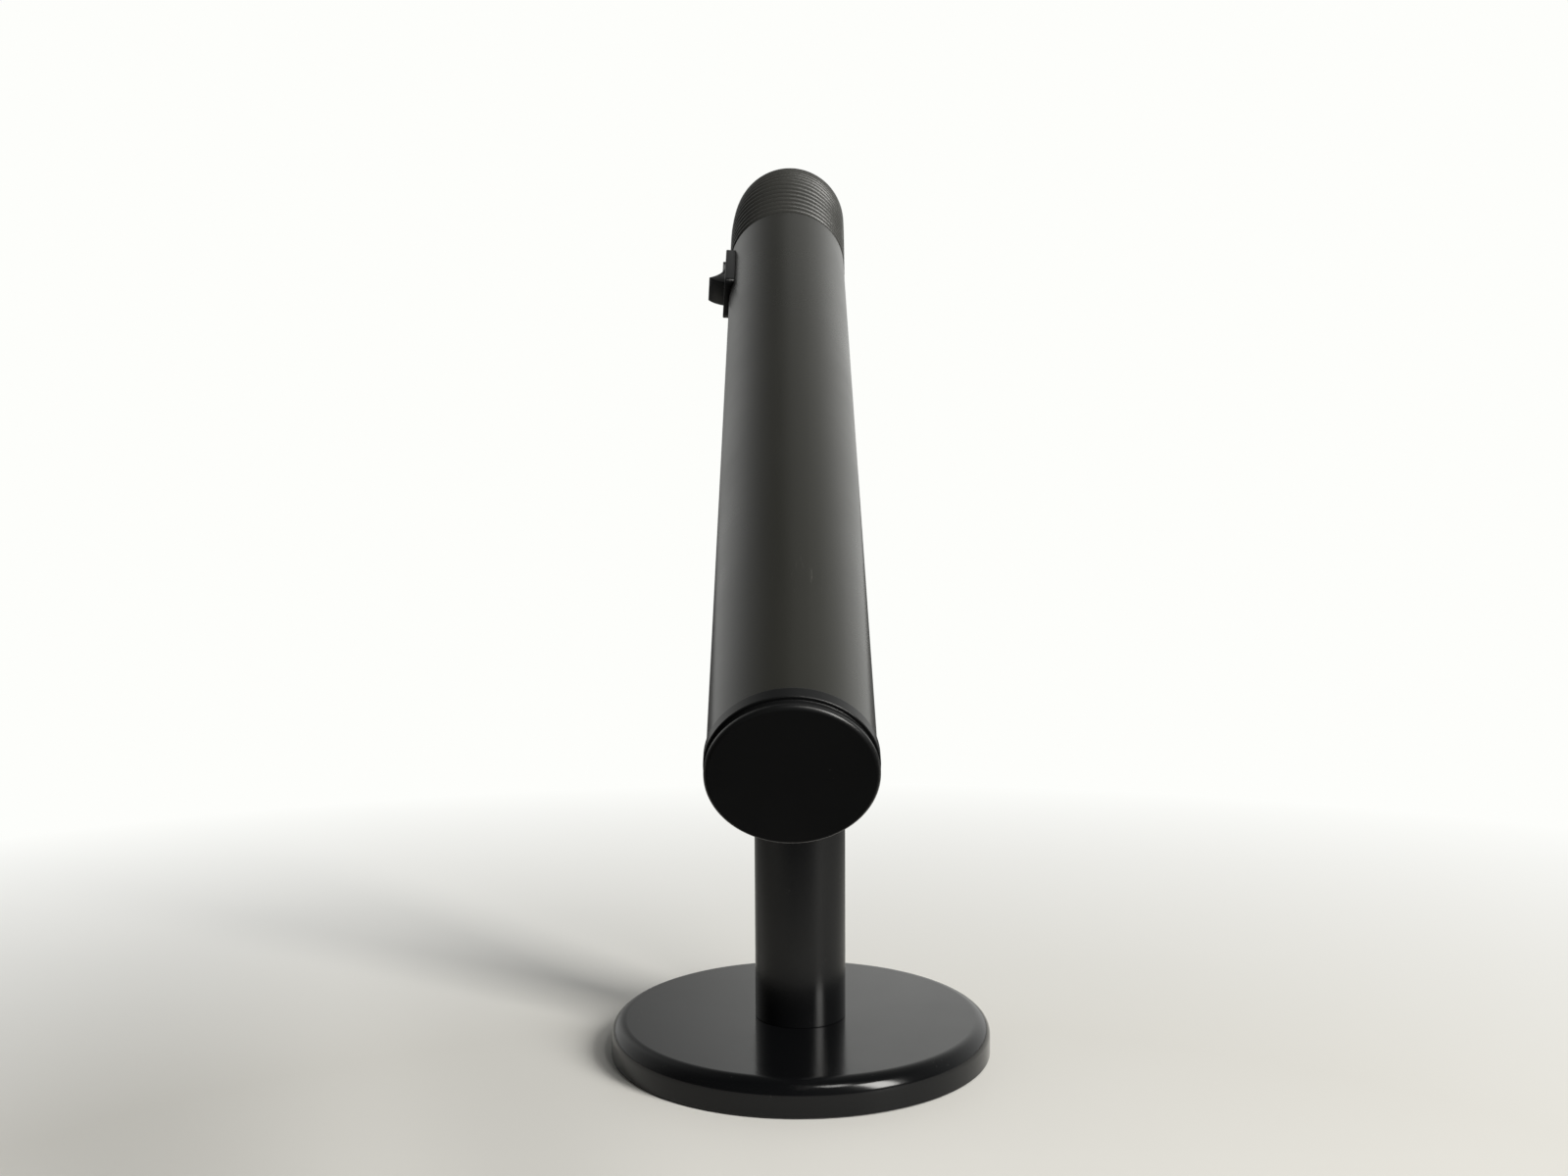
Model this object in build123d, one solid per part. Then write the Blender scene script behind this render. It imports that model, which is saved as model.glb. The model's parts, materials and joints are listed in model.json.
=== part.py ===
"""Tubular desk lamp: weighted round base, post tube, ribbed flexible neck and a long head tube.

Frame: millimetres, +Z up, origin at the centre of the base's underside. The head reaches toward -Y
and the switch is on the head's -X side.
"""

import math
import os

from build123d import *

# ---------------------------------------------------------------- driving dimensions
TUBE_R = 25.0            # post and head are cut from the same 50 mm tube
TUBE_WALL = 1.5
BASE_R = 105.0
BASE_H = 19.5
BASE_ROUND = 8.6         # rounding of the base's top edge
FELT_R = 100.4
CORD_Z = 6.9             # height of the cord's outlet in the base's back wall
POST_TOP = 345.6
BEND_R = 98.0            # radius of the neck's centreline
HEAD_DROP = 28.45        # slope of the head below the horizontal, degrees
HEAD_LENGTH = 352.5      # from the head's mouth to the cap's face
CAP_LIP = 9.2            # the part of the cap that stands out of the tube
CAP_R = 25.7
LIP_LENGTH = 4.4         # the cap's raised lip, next to the tube
CAP_GROOVE = 2.6         # width of the groove between the lip and the cap's face
CAP_GROOVE_R = 24.5
NECK_YAW = 2.38          # the neck leans this far to the -X side, degrees
JOINTS = 12              # bending joints that stand for the flexible neck
RIBS_PER_LINK = 4
STRAIGHT_RIBS = 6        # ribs on the hose's straight end, next to the head
STRAIGHT_PITCH = 4.5
STRAIGHT = 28.0          # length of the hose's straight end

# ---------------------------------------------------------------- derived sizes
TUBE_BORE = TUBE_R - TUBE_WALL
HEAD_END = HEAD_LENGTH - CAP_LIP     # the head tube's length
BEND = 90.0 + HEAD_DROP              # total bend of the neck at rest, degrees
SECTOR = BEND / JOINTS               # bend that each joint carries
RIB_STEP = SECTOR / RIBS_PER_LINK    # angle from one rib to the next
FAN = 0.755                          # ribs inside a link fan out by this share of the rib step
RUNNING = 0.1                        # clearance of the turning ferrules in the tubes
LOOSE = 0.05                         # clearance of a fixed piece in its seat
STEP = 0.2                           # the straight ends' walls are this much thicker on each side

# hose and gooseneck sections
RIB_R = 25.45
RIB_THICK = 1.5
HOSE_R = 23.0
HOSE_BORE = 21.0
CONDUIT_R = 8.0
CONDUIT_RING = 2.4
CONDUIT_CORE = 7.2
CONDUIT_BORE = 5.5

# ferrules that carry the hose in the two tubes
FERRULE_R = TUBE_BORE - RUNNING
SPIGOT_R = 20.4
GROOVE_R = FERRULE_R - 1.6
GROOVE_W = 3.4
SCREW_TIP_R = 1.4
LOWER_SEAT = 22.0        # depth of the lower ferrule in the post
UPPER_SEAT = 9.0         # depth of the upper ferrule in the head
LOWER_GROOVE = 11.0      # groove's distance from the tube's end
UPPER_GROOVE = 4.6

# light slot in the underside of the head
SLOT_START, SLOT_END, SLOT_W = 54.0, 334.0, 36.0
LAMP_R, LAMP_START, LAMP_LENGTH = 8.0, 50.0, 288.0
LAMP_UP = -1.0           # the lamp's axis against the tube's axis
PIN_LENGTH = 7.0
PIN_GAP = 4.75           # distance between the lamp's two pins
PIN_R = 1.15
HOLDER_T = 9.0           # thickness of a lampholder

# switch, in the head's frame: mounted at -X and turned up a little
SWITCH_AT = 22.5         # the switch's centre from the head's mouth
SWITCH_TURN = 4.0
BEZEL_L, BEZEL_W = 32.5, 18.7
BEZEL_FACE = 27.3        # the bezel's face from the tube's axis
WELL_L, WELL_W = 22.6, 11.3
WELL_WALL = 0.8
WELL_FLOOR = 13.0        # the switch body's floor from the tube's axis
ROCKER_R, ROCKER_W = 11.2, 10.8
ROCKER_TIP, ROCKER_TIP_H, ROCKER_DIP_H = 8.9, 6.8, 3.6
ROCKER_TILT = 18.0
PIVOT_DEPTH = 2.5
PIVOT_R = 1.0


def ring(outer, inner, length):
    """A ring about Z that starts at z = 0."""
    return Cylinder(outer, length, align=(Align.CENTER, Align.CENTER, Align.MIN)) - Cylinder(
        inner, length, align=(Align.CENTER, Align.CENTER, Align.MIN)
    )


def disc(radius, length, z=0.0):
    return Pos(0, 0, z) * Cylinder(radius, length, align=(Align.CENTER, Align.CENTER, Align.MIN))


def block(x0, x1, y0, y1, z0, z1):
    size = (abs(x1 - x0), abs(y1 - y0), abs(z1 - z0))
    return Pos((x0 + x1) / 2, (y0 + y1) / 2, (z0 + z1) / 2) * Box(*size)


def group(shapes):
    return Compound(children=list(shapes))


# ---------------------------------------------------------------- places
YAW = Rot(0, 0, -NECK_YAW)
BEND_CENTRE = Pos(0, -BEND_R, POST_TOP)


def on_bend(angle, lean=0.0):
    """Place on the neck's centreline: local z along the neck, local y away from the bend's centre."""
    return YAW * BEND_CENTRE * Rot(angle, 0, 0) * Pos(0, BEND_R, 0) * Rot(lean, 0, 0)


def bend_point(angle):
    return on_bend(angle).position


BEND_END = bend_point(BEND)
HEAD_DIR = Vector(0, -math.cos(math.radians(HEAD_DROP)), -math.sin(math.radians(HEAD_DROP)))
MOUTH = BEND_END + HEAD_DIR * STRAIGHT


def head_place(along=0.0):
    """Place on the head's axis: local z toward the cap, local y up, local x the row's +X."""
    return Location(Plane(origin=MOUTH + HEAD_DIR * along, x_dir=(1, 0, 0), z_dir=HEAD_DIR))


HEAD = head_place()
SWITCH = HEAD * Pos(0, 0, SWITCH_AT) * Rot(0, 0, -SWITCH_TURN)


# ---------------------------------------------------------------- base and post
def base_shell():
    cover = disc(BASE_R, BASE_H - 0.6, 0.6)
    cover = fillet(cover.edges().filter_by(GeomType.CIRCLE).sort_by(Axis.Z)[-1], BASE_ROUND)
    wall = 2.0
    hollow = disc(BASE_R - wall, BASE_H - wall - 0.6, 0.6)
    hollow = fillet(hollow.edges().filter_by(GeomType.CIRCLE).sort_by(Axis.Z)[-1], BASE_ROUND - wall)
    bolt_hole = disc(4.3, BASE_H)
    wire_hole = Pos(0, 13, 0) * disc(4.0, BASE_H)
    cord_hole = Pos(0, BASE_R, CORD_Z) * Rot(90, 0, 0) * Cylinder(5.05, 14)
    return cover - hollow - bolt_hole - wire_hole - cord_hole


def base_ballast():
    body = disc(95.0, 15.2, 2.2)
    body = fillet(body.edges().filter_by(GeomType.CIRCLE).sort_by(Axis.Z)[-1], 4.0)
    bolt_hole = disc(4.3, BASE_H)
    head_pocket = disc(12.0, 7.4, 2.1)
    wire_hole = Pos(0, 13, 0) * disc(4.0, BASE_H)
    channel = block(-4, 4, 8, 96, 2.1, 10)
    pocket = block(-18, 18, 44, 68, 2.1, 14.4)
    return body - bolt_hole - head_pocket - wire_hole - channel - pocket


def felt_pad():
    return disc(FELT_R, 2.0)


def cord_grommet():
    """Rubber bush in the base's back wall, with a flange on each side of it."""
    bush = disc(5.0, 5.65) + disc(5.9, 1.5) + disc(5.9, 1.5, 4.15)
    bush -= disc(3.4, 6.0)
    return Pos(0, BASE_R + 1.55, CORD_Z) * Rot(90, 0, 0) * bush


def post_tube():
    tube = disc(TUBE_R, POST_TOP - BASE_H, BASE_H) - disc(TUBE_BORE, POST_TOP - BASE_H, BASE_H)
    screw_hole = Pos(0, TUBE_R, POST_TOP - LOWER_GROOVE) * Rot(90, 0, 0) * Cylinder(2.0, 6)
    return tube - screw_hole


def post_foot_plug():
    plug = disc(TUBE_BORE - LOOSE, 16.0, BASE_H)
    plug = chamfer(plug.edges().filter_by(GeomType.CIRCLE).sort_by(Axis.Z)[-1], 1.0)
    return plug - disc(4.03, 18, BASE_H) - Pos(0, 13, 0) * disc(4.0, 18, BASE_H)


def clamp_bolt():
    head = extrude(RegularPolygon(7.5, 6), 5.3)
    bolt = Pos(0, 0, 2.6) * head + disc(4.0, 26.0, 7.9)
    return chamfer(bolt.edges().filter_by(GeomType.CIRCLE).sort_by(Axis.Z)[-1], 0.8)


def clamp_washer():
    return Pos(0, 0, 7.9) * ring(9.0, 4.1, 1.5)


def terminal_block():
    body = block(-15, 15, 47, 65, 2.4, 12.4)
    body = fillet(body.edges().filter_by(Axis.Z), 1.5)
    for x in (-10, 0, 10):
        body -= Pos(x, 56, 7.0) * Rot(90, 0, 0) * Cylinder(2.2, 20)
        for y in (51.5, 60.5):
            body -= Pos(x, y, 0) * disc(2.05, 7.0, 2.4)
    return body


def terminal_screws():
    screws = []
    for x in (-10, 0, 10):
        for y in (51.5, 60.5):
            screw = disc(2.0, 3.4, 2.6) - block(-2, 2, -0.4, 0.4, 2.5, 3.4)
            screws.append(Pos(x, y, 0) * screw)
    return group(screws)


# ---------------------------------------------------------------- neck
def arc_solid(radius, start, end):
    """A bent rod about the neck's centreline, from one bend angle to another."""
    section = Pos(0, BEND_R) * Circle(radius)
    return YAW * BEND_CENTRE * Rot(start, 0, 0) * revolve(section, Axis.X, end - start)


def hose_rib():
    """One rib of the hose: a disc with a rounded rim, centred on z = 0."""
    rib = Cylinder(RIB_R, RIB_THICK)
    return fillet(rib.edges().filter_by(GeomType.CIRCLE), 0.45)


def conduit_ring():
    return Cylinder(CONDUIT_R, CONDUIT_RING)


def ribbed(angles, middle, piece, core):
    """Discs on the bend at the given angles, joined by a bent core."""
    body = arc_solid(core, angles[0], angles[-1])
    for angle in angles:
        lean = (FAN - 1.0) * (angle - middle)
        body += on_bend(angle, lean) * piece
    return body


def bore_out(body, bore, angles):
    """Open the bend's bore through a ribbed body, a little past both ends."""
    return body - arc_solid(bore, angles[0] - 2.5, angles[-1] + 2.5)


def link_angles(index):
    """Bend angles of the ribs of a link: link 0 and link JOINTS are the half links at the ends."""
    first = index * RIBS_PER_LINK - RIBS_PER_LINK // 2
    ribs = [i for i in range(first, first + RIBS_PER_LINK) if 0 <= i < JOINTS * RIBS_PER_LINK]
    return [(i + 0.5) * RIB_STEP for i in ribs]


def hose_link(index):
    angles = link_angles(index)
    return bore_out(ribbed(angles, index * SECTOR, hose_rib(), HOSE_R), HOSE_BORE, angles)


def conduit_link(index):
    angles = link_angles(index)
    return bore_out(ribbed(angles, index * SECTOR, conduit_ring(), CONDUIT_CORE), CONDUIT_BORE, angles)


def hose_foot():
    """The hose's first two ribs, standing on the post's ferrule."""
    angles = link_angles(0)
    body = ribbed(angles, 0.0, hose_rib(), HOSE_R) + arc_solid(HOSE_R, 0.2, angles[0])
    return bore_out(body, HOSE_BORE, angles)


def gooseneck_foot():
    angles = link_angles(0)
    body = ribbed(angles, 0.0, conduit_ring(), CONDUIT_CORE) + arc_solid(CONDUIT_CORE, 0.0, angles[0])
    body += disc(CONDUIT_CORE + STEP, LOWER_SEAT + 0.3, POST_TOP - LOWER_SEAT)
    body -= arc_solid(CONDUIT_BORE, -0.35, angles[-1] + 2.5)
    return body - disc(CONDUIT_BORE - STEP, LOWER_SEAT + 1.7, POST_TOP - LOWER_SEAT - 1)


def straight_rib_places():
    """Ribs on the hose's straight end; the neck's sideways lean fades out over them."""
    places = []
    for i in range(STRAIGHT_RIBS):
        along = (i + 0.5) * STRAIGHT_PITCH - STRAIGHT
        yaw = -NECK_YAW * (1.0 - (i + 1.0) / (STRAIGHT_RIBS + 1.0))
        places.append(head_place(along) * Rot(0, yaw, 0))
    return places


def neck_end(piece, core, bore, length):
    """The half link at the top of the bend and the straight stretch that goes on from it."""
    angles = link_angles(JOINTS)
    body = ribbed(angles, BEND, piece, core) + arc_solid(core, angles[-1], BEND + 0.2)
    body += head_place(-STRAIGHT - 0.3) * disc(core + STEP, length + 0.3)
    body -= arc_solid(bore, angles[0] - 2.5, BEND + 0.35)
    return body - head_place(-STRAIGHT - 0.7) * disc(bore - STEP, length + 2.0)


def hose_end():
    """The hose's last ribs, pushed over the upper ferrule's spigot."""
    length = STRAIGHT - 0.4
    body = neck_end(hose_rib(), HOSE_R, HOSE_BORE, length)
    for place in straight_rib_places():
        body += place * (hose_rib() - Cylinder(HOSE_BORE + 0.9, 2 * RIB_THICK))
    return body


def gooseneck_end():
    return neck_end(conduit_ring(), CONDUIT_CORE, CONDUIT_BORE, STRAIGHT + UPPER_SEAT)


def ferrule(seat, groove, spigot):
    """A turned plug: its seat is in a tube below z = 0 and its spigot stands into the hose."""
    body = disc(FERRULE_R, seat - LOOSE, -seat) + disc(SPIGOT_R, spigot + 1.0, -1.0)
    body = chamfer(body.edges().filter_by(GeomType.CIRCLE).sort_by(Axis.Z)[0], 0.8)
    body -= Pos(0, 0, -groove - GROOVE_W / 2) * ring(FERRULE_R + 1, GROOVE_R, GROOVE_W)
    body -= disc(CONDUIT_R + 0.9, spigot + 2.0, -1.0)
    return body - Cylinder(CONDUIT_CORE + STEP + LOOSE, 4 * seat)


def ferrule_lower():
    return YAW * Pos(0, 0, POST_TOP) * ferrule(LOWER_SEAT, LOWER_GROOVE, 6.0)


def ferrule_upper():
    return HEAD * Rot(180, 0, 0) * ferrule(UPPER_SEAT, UPPER_GROOVE, 18.0)


def set_screw():
    """A set screw along +Z with its tip at z = 0."""
    screw = disc(SCREW_TIP_R, 1.8) + disc(1.95, 1.7, 1.7)
    return screw - disc(0.9, 2.0, 2.4)


def set_screw_lower():
    depth = GROOVE_R + 0.2
    return Pos(0, depth, POST_TOP - LOWER_GROOVE) * Rot(-90, 0, 0) * set_screw()


def set_screw_upper():
    depth = GROOVE_R + 0.2
    return HEAD * Pos(0, -depth, UPPER_GROOVE) * Rot(90, 0, 0) * set_screw()


# ---------------------------------------------------------------- head
def head_tube():
    tube = ring(TUBE_R, TUBE_BORE, HEAD_END)
    middle = (SLOT_START + SLOT_END) / 2
    outline = RectangleRounded(SLOT_W, SLOT_END - SLOT_START, 6.0)
    slot = Pos(0, -30, middle) * Rot(-90, 0, 0) * extrude(outline, 24.0)
    tube -= slot
    body_l, body_w = WELL_L + 2 * WELL_WALL + 0.3, WELL_W + 2 * WELL_WALL + 0.3
    window = Pos(0, 0, SWITCH_AT) * Rot(0, 0, -SWITCH_TURN) * Pos(-24, 0, 0) * Box(12, body_w, body_l)
    tube -= window
    tube -= Pos(0, -TUBE_R, UPPER_GROOVE) * Rot(90, 0, 0) * Cylinder(2.0, 6)
    return HEAD * tube


def end_cap():
    """Push-in plastic cap: a raised lip over the tube's end, a groove, a rounded face and a hollow skirt."""
    groove_end = HEAD_END + LIP_LENGTH + CAP_GROOVE
    lip = disc(CAP_R, LIP_LENGTH, HEAD_END)
    lip = fillet(lip.edges().filter_by(GeomType.CIRCLE), 0.4)
    waist = disc(CAP_GROOVE_R, CAP_LIP - 2.0, HEAD_END + 1.0)
    face = disc(CAP_R - 0.2, HEAD_LENGTH - groove_end, groove_end)
    face = fillet(face.edges().filter_by(GeomType.CIRCLE), 0.9)
    skirt = disc(TUBE_BORE - LOOSE, 10.0, HEAD_END - 9.0)
    hollow = disc(21.9, 16.0, HEAD_END - 10.0)
    return HEAD * (lip + waist + face + skirt - hollow)


def reflector():
    """Bent sheet above the lamp: an arc with two short straight wings."""
    sheet = ring(21.6, 21.1, SLOT_END - SLOT_START - 6.0)
    sheet -= block(-30, 30, -30, -9, -1, HEAD_LENGTH)
    return HEAD * Pos(0, 0, SLOT_START + 3.0) * sheet


def reflector_rivets():
    """Rivets through the reflector's crown into the tube, with their heads below the sheet."""
    rivets = []
    for along in (SLOT_START + 22, SLOT_END - 22):
        rivet = Pos(0, 20.3, along) * Rot(-90, 0, 0) * Cylinder(
            2.4, 0.6, align=(Align.CENTER, Align.CENTER, Align.MIN)
        )
        spacer = Pos(0, 21.6, along) * Rot(-90, 0, 0) * ring(2.2, 0.1, 1.7)
        rivets.append(rivet)
        rivets.append(spacer)
    return HEAD * group(rivets)


def lampholder(face, direction):
    """A lampholder block with a round rotor seat and an entry slot below; its face is at `face`."""
    low, high = sorted((face, face + direction * HOLDER_T))
    body = disc(20.6, high - low, low) & block(-13, 13, -15, 30, low, high)
    seat = Pos(0, LAMP_UP, 0) * disc(8.3, high - low + 2, low - 1)
    entry = block(-1.6, 1.6, -20, LAMP_UP, low - 1, high + 1)
    return body - seat - entry


def lampholder_rear():
    return HEAD * lampholder(LAMP_START - 0.4, -1)


def lampholder_front():
    return HEAD * lampholder(LAMP_START + LAMP_LENGTH + 0.4, 1)


def holder_screws():
    """Low screw heads on the crowns of the two lampholders."""
    screws = []
    for along in (LAMP_START - 0.4 - HOLDER_T / 2, LAMP_START + LAMP_LENGTH + 0.4 + HOLDER_T / 2):
        screws.append(Pos(0, 20.7, along) * Rot(-90, 0, 0) * disc(2.6, 0.95))
    return HEAD * group(screws)


def lamp_rotors():
    """The rotors that turn with the lamp in the two holders."""
    rotors = []
    for face, direction in ((LAMP_START - 0.4, -1), (LAMP_START + LAMP_LENGTH + 0.4, 1)):
        low, high = sorted((face, face + direction * (HOLDER_T - 1.0)))
        rotor = Pos(0, LAMP_UP, 0) * disc(8.2, high - low, low)
        half = PIN_R + 0.15
        rotor -= block(-PIN_GAP / 2 - half, 9.0, LAMP_UP - half, LAMP_UP + half, low - 1, high + 1)
        rotors.append(rotor)
    return HEAD * group(rotors)


def lamp_glass():
    return HEAD * Pos(0, LAMP_UP, LAMP_START + 8.0) * ring(LAMP_R - 0.2, LAMP_R - 1.0, LAMP_LENGTH - 16.0)


def lamp_caps():
    caps = []
    for start in (LAMP_START, LAMP_START + LAMP_LENGTH - 8.0):
        caps.append(Pos(0, LAMP_UP, start) * disc(LAMP_R, 8.0))
    return HEAD * group(caps)


def lamp_pins():
    pins = []
    for start in (LAMP_START - PIN_LENGTH, LAMP_START + LAMP_LENGTH):
        for side in (-1, 1):
            pins.append(Pos(side * PIN_GAP / 2, LAMP_UP, start) * disc(PIN_R, PIN_LENGTH))
    return HEAD * group(pins)


def starter_socket():
    return HEAD * Pos(7.0, 0, 10.5) * (disc(9.5, 6.0) - disc(1.5, 6.0))


def starter():
    return HEAD * Pos(7.0, 0, 16.6) * disc(9.0, 22.0)


# ---------------------------------------------------------------- switch
def switch_space(shape):
    """Turn a shape drawn with x along the head, y outward and z across into the switch's place."""
    return SWITCH * Location(Plane(origin=(0, 0, 0), x_dir=(0, 0, 1), z_dir=(0, -1, 0))) * shape


def switch_housing():
    face, floor = BEZEL_FACE, WELL_FLOOR
    half_l, half_w = WELL_L / 2, WELL_W / 2
    bezel = block(-BEZEL_L / 2, BEZEL_L / 2, TUBE_R - 3.0, face, -BEZEL_W / 2, BEZEL_W / 2)
    bezel = fillet(bezel.edges().filter_by(Axis.Y), 2.2)
    bezel = fillet(bezel.faces().sort_by(Axis.Y)[-1].edges(), 0.5)
    bezel -= Rot(0, 90, 0) * Cylinder(TUBE_R + 0.02, 60)
    body = block(
        -half_l - WELL_WALL, half_l + WELL_WALL, floor, face - 1.0, -half_w - WELL_WALL, half_w + WELL_WALL
    )
    well = block(-half_l, half_l, floor + 1.0, face + 1, -half_w, half_w)
    housing = bezel + body - well
    housing -= Pos(0, face - PIVOT_DEPTH, 0) * Cylinder(PIVOT_R, WELL_W + 2)
    return switch_space(housing)


def rocker_outline():
    floor = -6.0
    reach = math.sqrt(ROCKER_R**2 - floor**2)
    tip, tip_h = ROCKER_TIP, ROCKER_TIP_H
    top = ThreePointArc((-tip, tip_h), (0, ROCKER_DIP_H), (tip, tip_h))
    right = ThreePointArc((tip, tip_h), (ROCKER_R, 0), (reach, floor))
    bottom = Line((reach, floor), (-reach, floor))
    left = ThreePointArc((-reach, floor), (-ROCKER_R, 0), (-tip, tip_h))
    return make_face([top, right, bottom, left])


def switch_rocker():
    rocker = extrude(rocker_outline(), ROCKER_W / 2, both=True)
    rocker -= Cylinder(PIVOT_R + 0.05, ROCKER_W + 1)
    return switch_space(Pos(0, BEZEL_FACE - PIVOT_DEPTH, 0) * Rot(0, 0, ROCKER_TILT) * rocker)


def switch_pin():
    return switch_space(Pos(0, BEZEL_FACE - PIVOT_DEPTH, 0) * Cylinder(PIVOT_R, WELL_W + 2 * 0.7))


def switch_terminals():
    tags = []
    for along in (-7.0, 0.0, 7.0):
        tag = block(along - 0.4, along + 0.4, WELL_FLOOR - 5.0, WELL_FLOOR, -2.4, 2.4)
        tags.append(tag - Pos(along, WELL_FLOOR - 3.0, 0) * Rot(0, 90, 0) * Cylinder(0.8, 3))
    return switch_space(group(tags))


# ---------------------------------------------------------------- all nodes
def nodes():
    made = {
        "base_shell": base_shell(),
        "base_ballast": base_ballast(),
        "felt_pad": felt_pad(),
        "cord_grommet": cord_grommet(),
        "post_tube": post_tube(),
        "post_foot_plug": post_foot_plug(),
        "clamp_bolt": clamp_bolt(),
        "clamp_washer": clamp_washer(),
        "terminal_block": terminal_block(),
        "terminal_screws": terminal_screws(),
        "neck_ferrule_lower": ferrule_lower(),
        "neck_ferrule_upper": ferrule_upper(),
        "set_screw_lower": set_screw_lower(),
        "set_screw_upper": set_screw_upper(),
        "neck_hose_foot": hose_foot(),
        "neck_hose_end": hose_end(),
        "gooseneck_foot": gooseneck_foot(),
        "gooseneck_end": gooseneck_end(),
        "head_tube": head_tube(),
        "end_cap": end_cap(),
        "reflector": reflector(),
        "reflector_rivets": reflector_rivets(),
        "lampholder_rear": lampholder_rear(),
        "lampholder_front": lampholder_front(),
        "holder_screws": holder_screws(),
        "lamp_rotors": lamp_rotors(),
        "lamp_glass": lamp_glass(),
        "lamp_caps": lamp_caps(),
        "lamp_pins": lamp_pins(),
        "starter_socket": starter_socket(),
        "starter": starter(),
        "switch_housing": switch_housing(),
        "switch_rocker": switch_rocker(),
        "switch_pin": switch_pin(),
        "switch_terminals": switch_terminals(),
    }
    for index in range(1, JOINTS):
        made[f"neck_hose_{index:02d}"] = hose_link(index)
        made[f"gooseneck_{index:02d}"] = conduit_link(index)
    return made


os.makedirs("parts", exist_ok=True)
for name, shape in nodes().items():
    export_step(shape, f"parts/{name}.step")
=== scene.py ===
"""Tubular desk lamp: round weighted base, post, ribbed flexible neck and a long sloping head.

Everything is in metres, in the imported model's frame: +Z up, the origin under the centre of the base,
the head reaching toward -Y with the switch on its -X side.
"""

import json
import math

import bmesh
import bpy
from mathutils import Matrix, Vector


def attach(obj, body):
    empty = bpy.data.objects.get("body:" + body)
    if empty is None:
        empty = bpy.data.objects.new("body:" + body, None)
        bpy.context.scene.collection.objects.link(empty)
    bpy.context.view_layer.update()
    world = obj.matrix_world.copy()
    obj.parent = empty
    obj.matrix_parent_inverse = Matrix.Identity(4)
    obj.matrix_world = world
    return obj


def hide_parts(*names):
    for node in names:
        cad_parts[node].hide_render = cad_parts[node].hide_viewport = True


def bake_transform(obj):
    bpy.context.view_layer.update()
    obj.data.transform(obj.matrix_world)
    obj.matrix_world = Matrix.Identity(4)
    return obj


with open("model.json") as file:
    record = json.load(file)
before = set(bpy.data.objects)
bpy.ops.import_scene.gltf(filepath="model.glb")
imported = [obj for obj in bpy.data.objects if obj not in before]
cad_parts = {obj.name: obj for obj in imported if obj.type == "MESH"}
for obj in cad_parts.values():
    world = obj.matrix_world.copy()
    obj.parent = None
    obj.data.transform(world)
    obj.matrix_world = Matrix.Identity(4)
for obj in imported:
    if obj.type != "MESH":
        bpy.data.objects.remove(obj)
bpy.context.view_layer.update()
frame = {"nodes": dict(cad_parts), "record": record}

# ---------------------------------------------------------------- dimensions, as in the CAD
TUBE_R = 0.025
TUBE_BORE = 0.0235
BASE_R = 0.105
BASE_H = 0.0195
BASE_ROUND = 0.0086
BASE_WALL = 0.002
BASE_LIFT = 0.0006
BOLT_HOLE_R = 0.0043
POST_TOP = 0.3456
BEND_R = 0.098
HEAD_DROP = math.radians(28.45)
HEAD_LENGTH = 0.3525
HEAD_END = 0.3433
CAP_R = 0.0257
CAP_FACE_R = 0.0255
CAP_BORE_R = 0.0219
CAP_SPIGOT = 0.009
CAP_SPIGOT_R = TUBE_BORE - 0.00005
CAP_WALL = 0.0032
LIP_LENGTH = 0.0044
CAP_GROOVE = 0.0026
CAP_GROOVE_R = 0.0245
AXIS_GAP = 0.00002
NECK_YAW = math.radians(2.38)
JOINTS = 12
RIBS_PER_LINK = 4
STRAIGHT = 0.028
STRAIGHT_RIBS = 6
STRAIGHT_PITCH = 0.0045
RIB_R = 0.02543
GROOVE_R = 0.0231
HOSE_BORE = 0.0212
HOSE_END_GAP = 0.0004

BEND = math.pi / 2 + HEAD_DROP
SECTOR = BEND / JOINTS
RIB_STEP = SECTOR / RIBS_PER_LINK


# ---------------------------------------------------------------- camera
CAMERA_PLACE = (-0.00807, -0.998, 0.3565)
CAMERA_DOWN = math.radians(5.65)
CAMERA_ROLL = math.radians(-0.27)
CAMERA_LENS = 42.3


def make_camera():
    data = bpy.data.cameras.new("camera")
    data.lens = CAMERA_LENS
    data.sensor_width = 36.0
    data.clip_start = 0.01
    camera = bpy.data.objects.new("camera", data)
    tilt = Matrix.Rotation(math.pi / 2 - CAMERA_DOWN, 4, "X")
    roll = Matrix.Rotation(CAMERA_ROLL, 4, "Z")
    camera.matrix_world = Matrix.Translation(CAMERA_PLACE) @ tilt @ roll
    bpy.context.scene.collection.objects.link(camera)
    bpy.context.scene.camera = camera


make_camera()


# ---------------------------------------------------------------- places on the object
YAW = Matrix.Rotation(-NECK_YAW, 4, "Z")
BEND_CENTRE = Matrix.Translation((0.0, -BEND_R, POST_TOP))
OUT_TO_LINE = Matrix.Translation((0.0, BEND_R, 0.0))


def on_bend(angle):
    """Place on the neck's centreline: local z along the neck, local y away from the bend's centre."""
    return YAW @ BEND_CENTRE @ Matrix.Rotation(angle, 4, "X") @ OUT_TO_LINE


HEAD_DIR = Vector((0.0, -math.cos(HEAD_DROP), -math.sin(HEAD_DROP)))
MOUTH = on_bend(BEND).to_translation() + HEAD_DIR * STRAIGHT
HEAD_TURN = Matrix.Rotation(BEND, 4, "X")
HEAD = Matrix.Translation(MOUTH) @ HEAD_TURN


def on_straight(along, lean):
    """Place on the hose's straight end, `along` from the head's mouth, turned sideways by `lean`."""
    centre = Matrix.Translation(MOUTH + HEAD_DIR * along)
    return centre @ Matrix.Rotation(-lean, 4, "Z") @ HEAD_TURN


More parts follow.
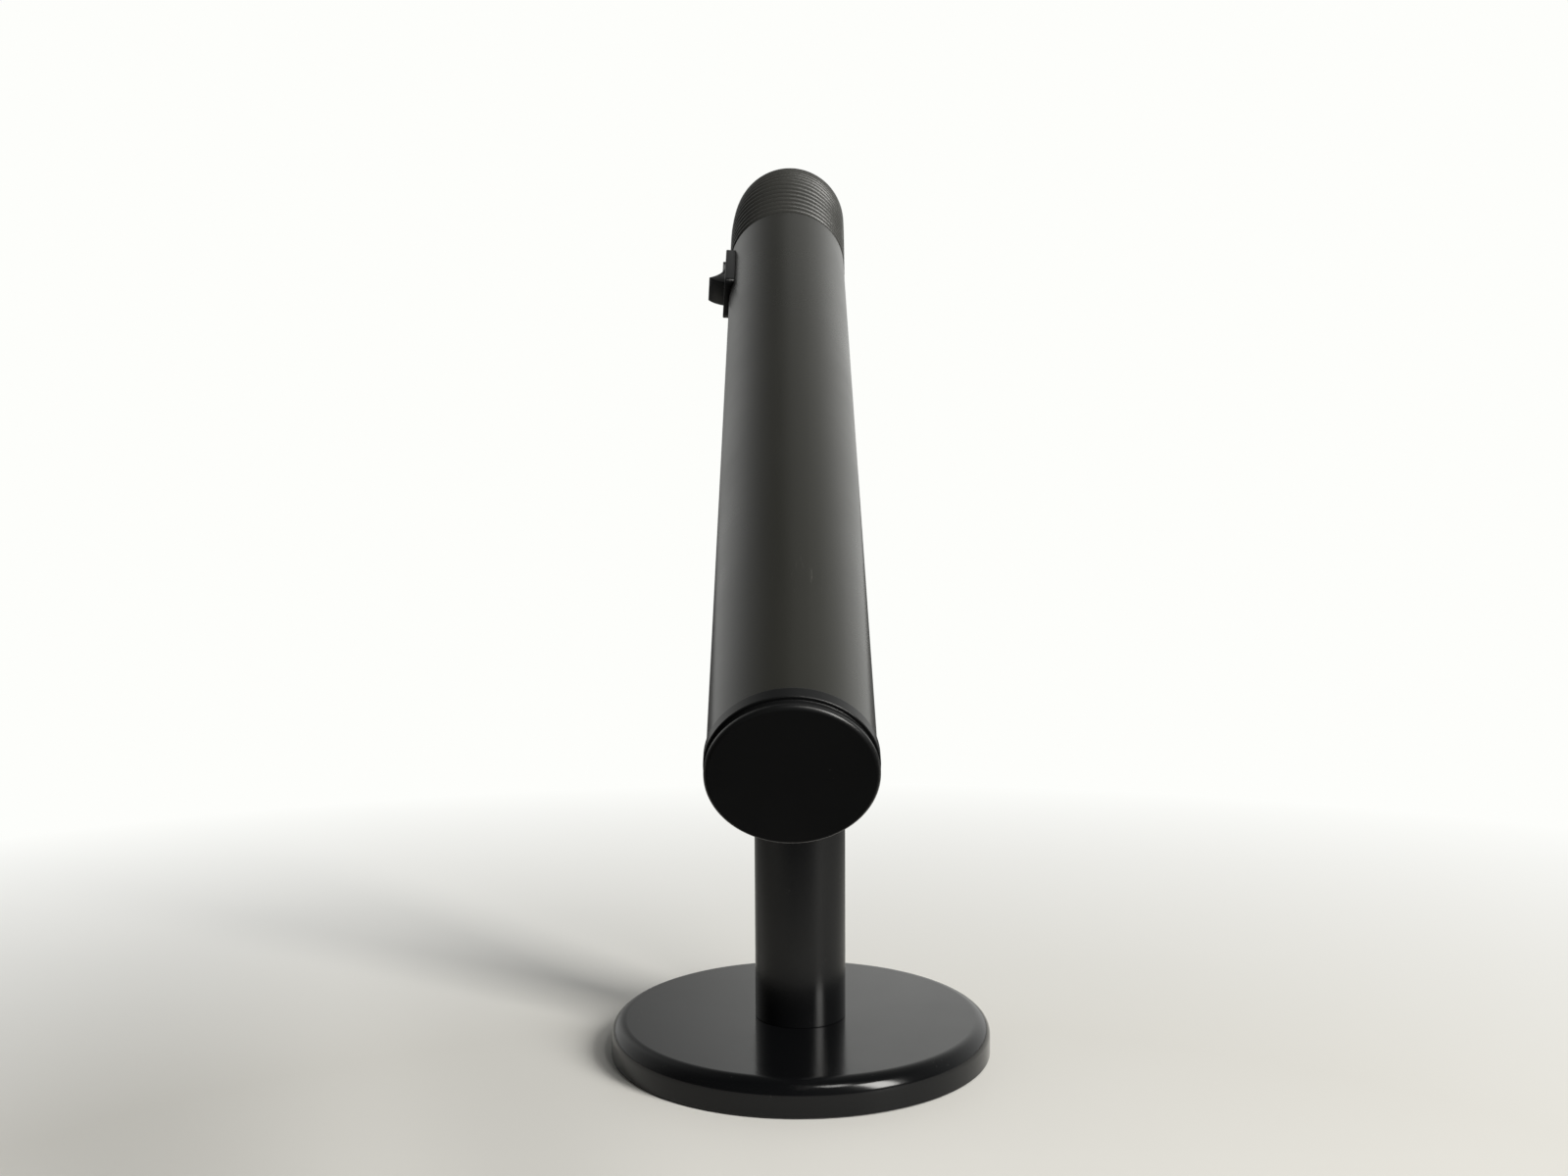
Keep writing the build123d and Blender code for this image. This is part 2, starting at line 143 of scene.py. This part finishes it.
# ---------------------------------------------------------------- materials
class Finish:
    """A procedural material built on one Principled shader."""

    def __init__(self, name, roughness=0.5, **sockets):
        self.slot = name
        self.material = bpy.data.materials.new("finish_" + name)
        self.material.use_nodes = True
        self.tree = self.material.node_tree
        self.shader = self.tree.nodes["Principled BSDF"]
        self.shader.inputs["Roughness"].default_value = roughness
        for socket, value in sockets.items():
            self.shader.inputs[socket.replace("_", " ")].default_value = value
        self.coords = self.add("ShaderNodeTexCoord").outputs["Object"]

    def add(self, kind, **settings):
        node = self.tree.nodes.new(kind)
        for name, value in settings.items():
            setattr(node, name, value)
        return node

    def link(self, source, target):
        self.tree.links.new(source, target)

    def stretched(self, place, scale):
        """Object coordinates seen in a turned place, stretched along its axes."""
        turn = self.add("ShaderNodeMapping", vector_type="TEXTURE")
        turn.inputs["Location"].default_value = place.to_translation()
        turn.inputs["Rotation"].default_value = place.to_euler()
        self.link(self.coords, turn.inputs["Vector"])
        grow = self.add("ShaderNodeMapping")
        grow.inputs["Scale"].default_value = scale
        self.link(turn.outputs["Vector"], grow.inputs["Vector"])
        return grow.outputs["Vector"]

    def noise(self, scale, detail=3.0, rough=0.55, coords=None):
        node = self.add("ShaderNodeTexNoise")
        node.inputs["Scale"].default_value = scale
        node.inputs["Detail"].default_value = detail
        node.inputs["Roughness"].default_value = rough
        self.link(coords or self.coords, node.inputs["Vector"])
        return node.outputs["Fac"]

    def cells(self, scale, coords=None):
        node = self.add("ShaderNodeTexVoronoi")
        node.inputs["Scale"].default_value = scale
        self.link(coords or self.coords, node.inputs["Vector"])
        return node.outputs["Distance"]

    def remap(self, value, low, high, to_low, to_high):
        node = self.add("ShaderNodeMapRange")
        ends = {"From Min": low, "From Max": high, "To Min": to_low, "To Max": to_high}
        for name, number in ends.items():
            node.inputs[name].default_value = number
        self.link(value, node.inputs["Value"])
        return node.outputs["Result"]

    def math(self, operation, first, second):
        node = self.add("ShaderNodeMath", operation=operation)
        for socket, value in zip(node.inputs, (first, second)):
            if isinstance(value, float):
                socket.default_value = value
            else:
                self.link(value, socket)
        return node.outputs["Value"]

    def near(self, point, radius):
        """1 at a point of the object, falling to 0 at a radius from it."""
        node = self.add("ShaderNodeVectorMath", operation="DISTANCE")
        self.link(self.coords, node.inputs[0])
        node.inputs[1].default_value = point
        return self.remap(node.outputs["Value"], 0.0, radius, 1.0, 0.0)

    def mix(self, factor, first, second):
        node = self.add("ShaderNodeMix", data_type="RGBA")
        self.link(factor, node.inputs["Factor"])
        for socket, value in zip((node.inputs[6], node.inputs[7]), (first, second)):
            if isinstance(value, tuple):
                socket.default_value = (*value, 1.0)
            else:
                self.link(value, socket)
        return node.outputs[2]

    def colour(self, value):
        self.link(value, self.shader.inputs["Base Color"])

    def roughness(self, value):
        self.link(value, self.shader.inputs["Roughness"])

    def bump(self, *layers):
        """Bumps on each other: pairs of a height and its depth in metres."""
        normal = None
        for height, depth in layers:
            node = self.add("ShaderNodeBump")
            node.inputs["Strength"].default_value = 1.0
            node.inputs["Distance"].default_value = depth
            self.link(height, node.inputs["Height"])
            if normal is not None:
                self.link(normal, node.inputs["Normal"])
            normal = node.outputs["Normal"]
        self.link(normal, self.shader.inputs["Normal"])
        return self


def enamel(name, dark, light, gloss, smudge, peel):
    """Sprayed enamel: orange peel, handling smudges in the gloss and a little dust."""
    finish = Finish(name, Specular_IOR_Level=0.3)
    broad = finish.noise(9.0, 4.0)
    dust = finish.remap(finish.cells(420.0), 0.0, 0.10, 1.0, 0.0)
    rare = finish.remap(finish.noise(60.0, 1.0), 0.60, 0.64, 0.0, 1.0)
    speck = finish.math("MULTIPLY", dust, rare)
    tone = finish.mix(broad, dark, light)
    finish.colour(finish.mix(finish.math("MULTIPLY", speck, 0.25), tone, (0.35, 0.34, 0.32)))
    rubbed = finish.remap(finish.noise(22.0, 5.0, 0.65), 0.35, 0.7, gloss, smudge)
    finish.roughness(finish.math("ADD", rubbed, finish.math("MULTIPLY", speck, 0.3)))
    finish.bump((finish.noise(700.0, 2.0), peel), (finish.noise(45.0, 2.0), peel * 1.5))
    return finish


# scuffs on the head's top: across, up and along in the head's place, and the radius of each
SCUFFS = (
    (-0.0125, 0.022, 0.108, 0.006),
    (0.0165, 0.019, 0.186, 0.011),
    (0.004, 0.0247, 0.286, 0.014),
)


def head_enamel():
    """Satin enamel, drawn along the tube, with a few scuffs of fine scratches."""
    finish = Finish("head_paint", Specular_IOR_Level=0.5)
    drawn = finish.stretched(HEAD, (90.0, 90.0, 4.0))
    broad = finish.noise(7.0, 4.0)
    streak = finish.noise(1.0, 3.0, 0.6, drawn)
    tone = finish.mix(broad, (0.014, 0.014, 0.0115), (0.021, 0.021, 0.0175))
    tone = finish.mix(finish.remap(streak, 0.35, 0.75, 0.0, 0.35), tone, (0.026, 0.026, 0.0225))
    hairlines = finish.noise(1.0, 6.0, 0.7, finish.stretched(HEAD, (1400.0, 1400.0, 90.0)))
    scratches = finish.remap(hairlines, 0.62, 0.7, 0.0, 1.0)
    marks = None
    for across, up, along, size in SCUFFS:
        spot = finish.near(HEAD @ Vector((across, up, along)), size)
        marks = spot if marks is None else finish.math("MAXIMUM", marks, spot)
    worn = finish.math("MULTIPLY", finish.math("MULTIPLY", marks, scratches), 0.55)
    finish.colour(finish.mix(worn, tone, (0.20, 0.20, 0.18)))
    rubbed = finish.remap(finish.noise(18.0, 5.0, 0.65), 0.3, 0.7, 0.26, 0.32)
    finish.roughness(finish.math("ADD", rubbed, finish.math("MULTIPLY", worn, 0.25)))
    finish.bump((finish.noise(1500.0, 2.0), 0.000008), (finish.noise(140.0, 2.0), 0.000003))
    return finish


def moulded(name, dark, light, low, high, grain, depth, specular=0.5, dust=0.0):
    """Moulded plastic or rubber: fine grain, uneven gloss and specks of dust."""
    finish = Finish(name, Specular_IOR_Level=specular)
    tone = finish.mix(finish.noise(14.0, 4.0), dark, light)
    if dust:
        speck = finish.remap(finish.cells(300.0), 0.05, 0.09, 1.0, 0.0)
        rare = finish.remap(finish.noise(75.0, 1.0), 0.63, 0.66, 0.0, 1.0)
        settled = finish.math("MULTIPLY", finish.math("MULTIPLY", speck, rare), dust)
        tone = finish.mix(settled, tone, (0.5, 0.49, 0.46))
    finish.colour(tone)
    finish.roughness(finish.remap(finish.noise(30.0, 5.0, 0.6), 0.3, 0.7, low, high))
    finish.bump((finish.noise(grain, 3.0), depth), (finish.noise(grain * 0.12, 2.0), depth * 1.5))
    return finish


def metal(name, tint, low, high, lines):
    """Turned or rolled metal: fine lines, a dull patina and small stains."""
    finish = Finish(name, Metallic=1.0)
    stain = finish.remap(finish.noise(40.0, 5.0, 0.65), 0.45, 0.75, 0.0, 1.0)
    finish.colour(finish.mix(stain, tint, tuple(0.6 * c for c in tint)))
    finish.roughness(finish.remap(finish.noise(120.0, 4.0), 0.3, 0.7, low, high))
    turned = finish.noise(lines, 2.0, 0.6, finish.stretched(Matrix.Identity(4), (0.02, 0.02, 1.0)))
    finish.bump((turned, 0.00001), (finish.noise(900.0, 2.0), 0.000006))
    return finish


def casting():
    finish = Finish("ballast_iron", Metallic=0.6)
    finish.colour(finish.mix(finish.noise(50.0, 5.0), (0.05, 0.048, 0.045), (0.12, 0.09, 0.07)))
    finish.roughness(finish.remap(finish.noise(200.0, 4.0), 0.3, 0.7, 0.6, 0.85))
    finish.bump((finish.noise(600.0, 4.0, 0.7), 0.0002))
    return finish


def pressed_felt():
    finish = Finish("felt", Sheen_Weight=0.25, Sheen_Roughness=0.6)
    finish.colour(finish.mix(finish.noise(900.0, 5.0, 0.7), (0.018, 0.018, 0.019), (0.07, 0.07, 0.072)))
    finish.roughness(finish.remap(finish.noise(300.0), 0.3, 0.7, 0.85, 1.0))
    finish.bump((finish.noise(1800.0, 5.0, 0.75), 0.0003))
    return finish


def white_enamel():
    finish = Finish("reflector_white", Specular_IOR_Level=0.5)
    finish.colour(finish.mix(finish.noise(16.0, 4.0), (0.72, 0.71, 0.67), (0.82, 0.81, 0.78)))
    finish.roughness(finish.remap(finish.noise(40.0), 0.3, 0.7, 0.28, 0.4))
    finish.bump((finish.noise(500.0, 2.0), 0.00001))
    return finish


def lamp_tube():
    finish = Finish("lamp_glass", Coat_Weight=0.6, Coat_Roughness=0.04)
    finish.colour(finish.mix(finish.noise(60.0, 4.0), (0.80, 0.81, 0.80), (0.88, 0.89, 0.88)))
    finish.roughness(finish.remap(finish.noise(150.0), 0.3, 0.7, 0.30, 0.42))
    finish.bump((finish.noise(1200.0, 2.0), 0.000004))
    return finish


def enamels():
    return [
        enamel("base_paint", (0.0030, 0.0032, 0.0036), (0.0046, 0.0049, 0.0054), 0.12, 0.20, 0.000008),
        enamel("post_paint", (0.0032, 0.0034, 0.0038), (0.0050, 0.0053, 0.0057), 0.19, 0.28, 0.000008),
        head_enamel(),
        white_enamel(),
    ]


def black_mouldings():
    rubber = (0.032, 0.032, 0.029), (0.046, 0.046, 0.042)
    cap = (0.0038, 0.0041, 0.0044), (0.0058, 0.0061, 0.0064)
    switch = (0.0050, 0.0052, 0.0056), (0.0078, 0.0080, 0.0084)
    grommet = (0.012, 0.012, 0.012), (0.02, 0.02, 0.02)
    return [
        moulded("hose_rubber", *rubber, 0.32, 0.42, 1300.0, 0.000012, dust=0.3),
        moulded("cap_plastic", *cap, 0.30, 0.40, 1500.0, 0.00001, specular=0.4, dust=0.9),
        moulded("switch_plastic", *switch, 0.28, 0.38, 1800.0, 0.000006),
        moulded("grommet_rubber", *grommet, 0.55, 0.7, 1500.0, 0.00002),
    ]


def pale_mouldings():
    holder = (0.70, 0.69, 0.64), (0.78, 0.77, 0.73)
    terminal = (0.62, 0.60, 0.52), (0.70, 0.68, 0.61)
    starter = (0.72, 0.72, 0.69), (0.80, 0.80, 0.77)
    return [
        moulded("holder_plastic", *holder, 0.38, 0.5, 900.0, 0.00001),
        moulded("terminal_plastic", *terminal, 0.4, 0.5, 900.0, 0.00001),
        moulded("starter_plastic", *starter, 0.35, 0.45, 900.0, 0.00001),
    ]


def metals():
    return [
        metal("steel", (0.52, 0.52, 0.53), 0.28, 0.42, 1500.0),
        metal("zinc_screw", (0.58, 0.58, 0.55), 0.3, 0.45, 2500.0),
        metal("ferrule_aluminium", (0.72, 0.72, 0.73), 0.25, 0.38, 2500.0),
        metal("conduit_steel", (0.48, 0.48, 0.48), 0.3, 0.45, 2000.0),
        metal("lamp_metal", (0.72, 0.72, 0.72), 0.25, 0.35, 1800.0),
        metal("brass", (0.70, 0.52, 0.24), 0.22, 0.36, 2000.0),
        casting(),
    ]


def make_finishes():
    made = enamels() + black_mouldings() + pale_mouldings() + metals() + [pressed_felt(), lamp_tube()]
    return {finish.slot: finish.material for finish in made}


FINISHES = make_finishes()


# ---------------------------------------------------------------- mesh helpers
def finish_piece(mesh, name, slot, sharp=32.0):
    """Turn a bmesh into a shaded object with its finish."""
    bmesh.ops.recalc_face_normals(mesh, faces=mesh.faces)
    data = bpy.data.meshes.new(name)
    mesh.to_mesh(data)
    mesh.free()
    for polygon in data.polygons:
        polygon.use_smooth = True
    data.set_sharp_from_angle(angle=math.radians(sharp))
    data.materials.append(FINISHES[slot])
    piece = bpy.data.objects.new(name, data)
    bpy.context.scene.collection.objects.link(piece)
    return piece


def weigh_normals(piece):
    weighted = piece.modifiers.new("flat faces stay flat", "WEIGHTED_NORMAL")
    weighted.keep_sharp = True


def rounded(corners, steps=7):
    """A closed outline from corners (r, z, rounding radius), each arc in `steps` chords."""
    points = []
    count = len(corners)
    for i, (x, y, radius) in enumerate(corners):
        here = Vector((x, y))
        if radius <= 0.0:
            points.append(here)
            continue
        before = (Vector(corners[i - 1][:2]) - here).normalized()
        after = (Vector(corners[(i + 1) % count][:2]) - here).normalized()
        half = before.angle(after) / 2
        reach = radius / math.tan(half)
        centre = here + (before + after).normalized() * (radius / math.sin(half))
        start = here + before * reach - centre
        end = here + after * reach - centre
        turn = start.angle_signed(end)
        for k in range(steps + 1):
            share = -turn * k / steps
            cos, sin = math.cos(share), math.sin(share)
            points.append(centre + Vector((start.x * cos - start.y * sin, start.x * sin + start.y * cos)))
    return points


def ring_of(mesh, place, radius, height, segments):
    """Vertices in a circle about a place's local z axis."""
    ring = []
    for k in range(segments):
        turn = 2 * math.pi * k / segments
        point = Vector((radius * math.cos(turn), radius * math.sin(turn), height))
        ring.append(mesh.verts.new(place @ point))
    return ring


def join_rings(mesh, rings):
    """Faces from each ring to the next, and from the last back to the first."""
    for i, ring in enumerate(rings):
        onward = rings[(i + 1) % len(rings)]
        for k in range(len(ring)):
            j = (k + 1) % len(ring)
            mesh.faces.new((ring[k], ring[j], onward[j], onward[k]))


def lathe(name, slot, outline, place=Matrix.Identity(4), segments=192):
    """A closed solid of revolution about the local z axis."""
    mesh = bmesh.new()
    join_rings(mesh, [ring_of(mesh, place, point.x, point.y, segments) for point in outline])
    piece = finish_piece(mesh, name, slot)
    weigh_normals(piece)
    return piece


# ---------------------------------------------------------------- ribbed hose
# where a pitch has its rings: close together on the rib's shoulders, wider apart on its crown
RIB_PHASES = (
    *(0.0, 0.1, 0.16, 0.19, 0.2, 0.22, 0.25, 0.3, 0.36, 0.43),
    *(0.5, 0.57, 0.64, 0.7, 0.75, 0.78, 0.8, 0.81, 0.84, 0.9),
)
RIB_HALF = 0.31
BORE_STEPS = 8


def rib_radius(phase):
    """The hose's radius over one pitch: a rib of elliptical section with half a groove at each end."""
    reach = abs(phase - 0.5) / RIB_HALF
    if reach >= 1.0:
        return GROOVE_R
    return GROOVE_R + (RIB_R - GROOVE_R) * (1.0 - reach**2.0) ** 0.5


def hose_skin(name, stations, segments=112):
    """A closed ribbed sleeve through stations (place, radius), with a plain bore."""
    mesh = bmesh.new()
    bore = [(place, HOSE_BORE) for place, _ in stations[:: -(len(stations) // BORE_STEPS)]]
    if bore[-1][0] != stations[0][0]:
        bore.append((stations[0][0], HOSE_BORE))
    join_rings(mesh, [ring_of(mesh, place, radius, 0.0, segments) for place, radius in stations + bore])
    return finish_piece(mesh, name, "hose_rubber", sharp=60.0)


def make_neck():
    for joint in range(1, JOINTS + 1):
        stations = []
        first = (joint - 1) * RIBS_PER_LINK
        for rib in range(first, first + RIBS_PER_LINK):
            for phase in RIB_PHASES:
                stations.append((on_bend((rib + phase) * RIB_STEP), rib_radius(phase)))
        stations.append((on_bend(joint * SECTOR), rib_radius(1.0)))
        skin = hose_skin(f"neck_skin_{joint:02d}", stations)
        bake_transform(skin)
        node = "neck_hose_foot" if joint == 1 else f"neck_hose_{joint - 1:02d}"
        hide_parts(node)
    stations = []
    for rib in range(STRAIGHT_RIBS):
        for phase in RIB_PHASES:
            along = (rib + phase) * STRAIGHT_PITCH
            lean = NECK_YAW * (1.0 - along / STRAIGHT)
            stations.append((on_straight(along - STRAIGHT, lean), rib_radius(phase)))
    for along in (STRAIGHT_RIBS * STRAIGHT_PITCH, STRAIGHT - HOSE_END_GAP):
        stations.append((on_straight(along - STRAIGHT, 0.0), GROOVE_R))
    cuff = hose_skin("neck_skin_end", stations)
    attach(cuff, "neck_end")
    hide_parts("neck_hose_end")


# ---------------------------------------------------------------- base, post and the head's end cap
def make_base():
    inner_r = BASE_R - BASE_WALL
    inner_h = BASE_H - BASE_WALL
    outline = rounded(
        [
            (BASE_R, BASE_LIFT, 0.0005),
            (BASE_R, BASE_H, BASE_ROUND),
            (BOLT_HOLE_R, BASE_H, 0.0),
            (BOLT_HOLE_R, inner_h, 0.0),
            (inner_r, inner_h, BASE_ROUND - BASE_WALL),
            (inner_r, BASE_LIFT, 0.0),
        ],
        steps=14,
    )
    cover = lathe("base_cover", "base_paint", outline, segments=256)
    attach(cover, "stand")
    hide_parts("base_shell")


def make_post():
    outline = rounded(
        [
            (TUBE_R, BASE_H, 0.0004),
            (TUBE_R, POST_TOP, 0.0004),
            (TUBE_BORE, POST_TOP, 0.0002),
            (TUBE_BORE, BASE_H, 0.0),
        ],
        steps=4,
    )
    post = lathe("post_sleeve", "post_paint", outline)
    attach(post, "stand")
    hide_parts("post_tube")


def make_cap():
    groove = HEAD_END + LIP_LENGTH
    spigot_end = HEAD_END - CAP_SPIGOT
    inside = HEAD_LENGTH - CAP_WALL
    outline = rounded(
        [
            (AXIS_GAP, HEAD_LENGTH, 0.0),
            (CAP_FACE_R, HEAD_LENGTH, 0.0013),
            (CAP_FACE_R, groove + CAP_GROOVE, 0.0006),
            (CAP_GROOVE_R, groove + CAP_GROOVE, 0.0002),
            (CAP_GROOVE_R, groove, 0.0002),
            (CAP_R, groove, 0.0004),
            (CAP_R, HEAD_END, 0.0004),
            (CAP_SPIGOT_R, HEAD_END, 0.0),
            (CAP_SPIGOT_R, spigot_end, 0.0004),
            (CAP_BORE_R, spigot_end, 0.0004),
            (CAP_BORE_R, inside, 0.0),
            (AXIS_GAP, inside, 0.0),
        ],
        steps=8,
    )
    cap = lathe("cap_moulding", "cap_plastic", outline, HEAD)
    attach(cap, "head")
    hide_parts("end_cap")


make_neck()
make_base()
make_post()
make_cap()


# ---------------------------------------------------------------- carried-over CAD pieces
def dress_cad_nodes():
    for row in frame["record"]["subparts"]:
        node = frame["nodes"][row["node"]]
        finish = FINISHES[row["material_slot"]]
        if not node.material_slots:
            node.data.materials.append(finish)
        for slot in node.material_slots:
            slot.material = finish
        for polygon in node.data.polygons:
            polygon.use_smooth = True
        node.data.set_sharp_from_angle(angle=math.radians(30.0))


def soften(node, width):
    """Round a CAD node's sharp edges a little."""
    modifiers = frame["nodes"][node].modifiers
    weld = modifiers.new("join faces", "WELD")
    weld.merge_threshold = 0.000005
    bevel = modifiers.new("round edges", "BEVEL")
    bevel.width = width
    bevel.segments = 3
    bevel.limit_method = "ANGLE"
    bevel.angle_limit = math.radians(40.0)
    bevel.harden_normals = True


dress_cad_nodes()
soften("switch_housing", 0.00025)
soften("switch_rocker", 0.0003)


# ---------------------------------------------------------------- studio
ROOM_WHITE = (0.985, 0.99, 0.965, 1.0)


def make_floor():
    """Pale paper that fades to the room's white behind, and is dark in front except to the camera."""
    mesh = bmesh.new()
    bmesh.ops.create_grid(mesh, x_segments=4, y_segments=4, size=12.0)
    data = bpy.data.meshes.new("floor")
    mesh.to_mesh(data)
    mesh.free()
    finish = Finish("floor_paper", Specular_IOR_Level=0.04)
    seen = finish.add("ShaderNodeLightPath").outputs["Is Camera Ray"]
    axes = finish.add("ShaderNodeSeparateXYZ")
    finish.link(finish.coords, axes.inputs[0])
    front = finish.remap(axes.outputs["Y"], -0.50, -0.24, 0.95, 0.0)
    unlit = finish.math("MULTIPLY", front, finish.math("SUBTRACT", 1.0, seen))
    paper = finish.mix(finish.noise(2.0), (0.74, 0.73, 0.69), (0.77, 0.76, 0.73))
    finish.colour(finish.mix(unlit, paper, (0.02, 0.02, 0.02)))
    finish.roughness(finish.remap(finish.noise(5.0), 0.3, 0.7, 0.45, 0.6))
    finish.bump((finish.noise(300.0), 0.00003))
    glow = finish.add("ShaderNodeEmission")
    glow.inputs["Color"].default_value = ROOM_WHITE
    finish.link(finish.remap(seen, 0.0, 1.0, 0.12, 1.0), glow.inputs["Strength"])
    far = finish.remap(finish.near((0.0, -0.45, 0.0), 1.3), 0.1, 0.62, 1.0, 0.0)
    blend = finish.add("ShaderNodeMixShader")
    finish.link(far, blend.inputs["Fac"])
    finish.link(finish.shader.outputs["BSDF"], blend.inputs[1])
    finish.link(glow.outputs["Emission"], blend.inputs[2])
    finish.link(blend.outputs["Shader"], finish.tree.nodes["Material Output"].inputs["Surface"])
    data.materials.append(finish.material)
    floor = bpy.data.objects.new("floor", data)
    bpy.context.scene.collection.objects.link(floor)


def area_light(name, place, aim, size, power, tint):
    data = bpy.data.lights.new(name, "AREA")
    data.shape = "RECTANGLE"
    data.size, data.size_y = size
    data.energy = power
    data.color = tint
    light = bpy.data.objects.new(name, data)
    light.location = place
    light.rotation_euler = (Vector(aim) - Vector(place)).to_track_quat("-Z", "Y").to_euler()
    bpy.context.scene.collection.objects.link(light)


def make_room():
    """White to the camera; to other rays bright behind, dimmer overhead, in front and left of centre."""
    world = bpy.data.worlds.new("room")
    world.use_nodes = True
    bpy.context.scene.world = world
    tree = world.node_tree
    sky = tree.nodes["Background"]

    def add(kind, **settings):
        node = tree.nodes.new(kind)
        for name, value in settings.items():
            setattr(node, name, value)
        return node

    def ramp(source, low, high, to_low, to_high):
        node = add("ShaderNodeMapRange", interpolation_type="SMOOTHSTEP")
        ends = {"From Min": low, "From Max": high, "To Min": to_low, "To Max": to_high}
        for name, number in ends.items():
            node.inputs[name].default_value = number
        tree.links.new(source, node.inputs["Value"])
        return node.outputs["Result"]

    axes = add("ShaderNodeSeparateXYZ")
    tree.links.new(add("ShaderNodeTexCoord").outputs["Generated"], axes.inputs[0])
    height = ramp(axes.outputs["Z"], 0.30, 0.92, 1.0, 0.30)
    depth = ramp(axes.outputs["Y"], -0.30, 0.95, 0.05, 1.0)
    side = add("ShaderNodeMath", operation="MAXIMUM")
    tree.links.new(ramp(axes.outputs["X"], -0.13, 0.07, 0.36, 1.0), side.inputs[0])
    tree.links.new(ramp(axes.outputs["X"], -0.50, -0.20, 0.85, 0.36), side.inputs[1])
    level = add("ShaderNodeMath", operation="MULTIPLY")
    tree.links.new(height, level.inputs[0])
    tree.links.new(depth, level.inputs[1])
    shade = add("ShaderNodeMath", operation="MULTIPLY")
    tree.links.new(level.outputs["Value"], shade.inputs[0])
    tree.links.new(side.outputs["Value"], shade.inputs[1])
    seen = add("ShaderNodeLightPath").outputs["Is Camera Ray"]
    strength = add("ShaderNodeMix", data_type="FLOAT")
    tree.links.new(seen, strength.inputs["Factor"])
    tree.links.new(shade.outputs["Value"], strength.inputs[2])
    strength.inputs[3].default_value = 1.0
    tree.links.new(strength.outputs[0], sky.inputs["Strength"])
    sky.inputs["Color"].default_value = ROOM_WHITE


make_floor()
make_room()
WARM_WHITE = (1.0, 0.985, 0.95)
area_light("ceiling", (0.5, -1.05, 1.6), (0.0, -0.3, 0.2), (0.4, 0.4), 6.0, WARM_WHITE)
area_light("window", (2.5, -2.15, 1.9), (0.0, 0.0, 0.2), (1.0, 2.5), 185.0, WARM_WHITE)

view = bpy.context.scene.view_settings
view.view_transform = "Standard"
view.look = "None"
